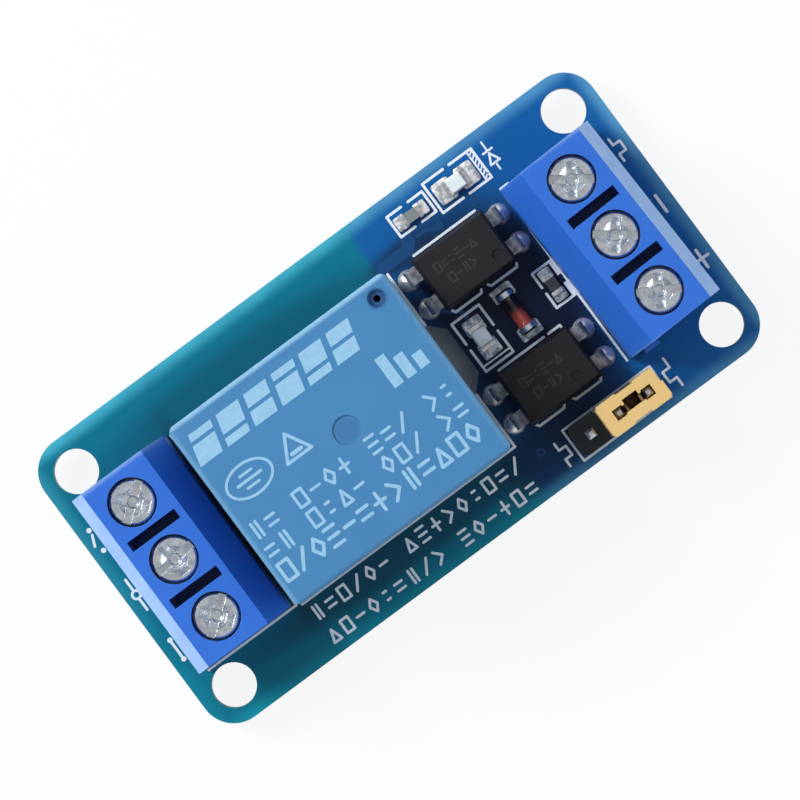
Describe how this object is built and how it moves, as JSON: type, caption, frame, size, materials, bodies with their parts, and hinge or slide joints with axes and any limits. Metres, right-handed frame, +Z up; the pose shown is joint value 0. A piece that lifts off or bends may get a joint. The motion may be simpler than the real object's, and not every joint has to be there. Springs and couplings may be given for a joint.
{
  "type": "relay module board",
  "caption": "Small circuit board that switches a load: a sealed relay between screw terminals, with optocouplers, indicator lights and a selector jumper.",
  "frame": {"origin": "centre of the rectangle of mounting holes, on the underside of the circuit board", "axes": "+X along the board towards the input terminals, +Y across it towards the edge with the power light, +Z up from the board"},
  "size_m": [0.05, 0.025, 0.0189],
  "materials": {
    "board_mask": "satin",
    "tin": "satin",
    "solder": "gloss",
    "relay_case": "matte",
    "relay_base": "matte",
    "bobbin": "satin",
    "winding": "gloss",
    "relay_iron": "satin",
    "contact_strip": "satin",
    "contact_rivet": "gloss",
    "terminal_case": "satin",
    "screw_steel": "satin",
    "cage_steel": "satin",
    "chip_black": "matte",
    "header_black": "satin",
    "cap_amber": "satin",
    "light_white": "matte",
    "light_lens": "gloss",
    "dim_lens": "gloss",
    "diode_glass": "gloss"
  },
  "bodies": {
    "board": {"circuit_board": "board_mask", "solder_joints": "solder", "chip_pads": "solder", "relay_cover": "relay_case", "relay_base": "relay_base", "relay_bobbin": "bobbin", "relay_coil": "winding", "relay_core": "relay_iron", "relay_yoke": "relay_iron", "relay_closed_contact": "contact_strip", "relay_open_contact": "contact_strip", "relay_fixed_rivets": "contact_rivet", "relay_common_pin": "contact_strip", "relay_coil_pins": "tin", "output_housing": "terminal_case", "output_strips": "tin", "input_housing": "terminal_case", "input_strips": "tin", "opto_1_body": "chip_black", "opto_1_leads": "tin", "opto_2_body": "chip_black", "opto_2_leads": "tin", "header_base": "header_black", "header_pins": "tin", "power_light_base": "light_white", "power_light_lens": "light_lens", "relay_light_base": "light_white", "relay_light_lens": "dim_lens", "resistor_1_body": "chip_black", "resistor_1_ends": "tin", "resistor_2_body": "chip_black", "resistor_2_ends": "tin", "diode_glass": "diode_glass", "diode_ends": "tin"},
    "output_screw_1": {"output_screw_1": "screw_steel"},
    "output_cage_1": {"output_cage_1": "cage_steel"},
    "output_screw_2": {"output_screw_2": "screw_steel"},
    "output_cage_2": {"output_cage_2": "cage_steel"},
    "output_screw_3": {"output_screw_3": "screw_steel"},
    "output_cage_3": {"output_cage_3": "cage_steel"},
    "input_screw_1": {"input_screw_1": "screw_steel"},
    "input_cage_1": {"input_cage_1": "cage_steel"},
    "input_screw_2": {"input_screw_2": "screw_steel"},
    "input_cage_2": {"input_cage_2": "cage_steel"},
    "input_screw_3": {"input_screw_3": "screw_steel"},
    "input_cage_3": {"input_cage_3": "cage_steel"},
    "armature": {"relay_armature": "relay_iron", "relay_spring": "contact_strip", "relay_moving_contact": "contact_rivet"},
    "jumper": {"jumper_cap": "cap_amber", "jumper_clip": "contact_strip"}
  },
  "joints": [
    {"name": "output_screw_1_turn", "type": "hinge", "parent": "board", "child": "output_screw_1", "pos_m": [-0.01978, 0.00528, 0.011], "axis": [0, 0, -1], "range_deg": [0, 1800]},
    {"name": "output_cage_1_rise", "type": "slide", "parent": "board", "child": "output_cage_1", "axis": [0, 0, 1], "range_m": [0, 0.00225]},
    {"name": "output_screw_2_turn", "type": "hinge", "parent": "board", "child": "output_screw_2", "pos_m": [-0.01978, 0.0002, 0.011], "axis": [0, 0, -1], "range_deg": [0, 1800]},
    {"name": "output_cage_2_rise", "type": "slide", "parent": "board", "child": "output_cage_2", "axis": [0, 0, 1], "range_m": [0, 0.00225]},
    {"name": "output_screw_3_turn", "type": "hinge", "parent": "board", "child": "output_screw_3", "pos_m": [-0.01978, -0.00488, 0.011], "axis": [0, 0, -1], "range_deg": [0, 1800]},
    {"name": "output_cage_3_rise", "type": "slide", "parent": "board", "child": "output_cage_3", "axis": [0, 0, 1], "range_m": [0, 0.00225]},
    {"name": "input_screw_1_turn", "type": "hinge", "parent": "board", "child": "input_screw_1", "pos_m": [0.01939, 0.00516, 0.011], "axis": [0, 0, -1], "range_deg": [0, 1800]},
    {"name": "input_cage_1_rise", "type": "slide", "parent": "board", "child": "input_cage_1", "axis": [0, 0, 1], "range_m": [0, 0.00225]},
    {"name": "input_screw_2_turn", "type": "hinge", "parent": "board", "child": "input_screw_2", "pos_m": [0.01954, 0.00008, 0.011], "axis": [0, 0, -1], "range_deg": [0, 1800]},
    {"name": "input_cage_2_rise", "type": "slide", "parent": "board", "child": "input_cage_2", "axis": [0, 0, 1], "range_m": [0, 0.00225]},
    {"name": "input_screw_3_turn", "type": "hinge", "parent": "board", "child": "input_screw_3", "pos_m": [0.01969, -0.005, 0.011], "axis": [0, 0, -1], "range_deg": [0, 1800]},
    {"name": "input_cage_3_rise", "type": "slide", "parent": "board", "child": "input_cage_3", "axis": [0, 0, 1], "range_m": [0, 0.00225]},
    {"name": "armature_swing", "type": "hinge", "parent": "board", "child": "armature", "pos_m": [0.00061, 0, 0.012], "axis": [0, -1, 0], "range_deg": [0, 2], "stiffness_Nm_per_rad": 0.005, "springref_deg": -11.46},
    {"name": "jumper_pull", "type": "slide", "parent": "board", "child": "jumper", "axis": [0, 0, 1], "range_m": [0, 0.0065]}
  ],
  "couplings": [
    {"joint": "output_screw_1_turn", "follows": "output_cage_1_rise", "rad_per_m": 13963},
    {"joint": "output_screw_2_turn", "follows": "output_cage_2_rise", "rad_per_m": 13963},
    {"joint": "output_screw_3_turn", "follows": "output_cage_3_rise", "rad_per_m": 13963},
    {"joint": "input_screw_1_turn", "follows": "input_cage_1_rise", "rad_per_m": 13963},
    {"joint": "input_screw_2_turn", "follows": "input_cage_2_rise", "rad_per_m": 13963},
    {"joint": "input_screw_3_turn", "follows": "input_cage_3_rise", "rad_per_m": 13963}
  ]
}
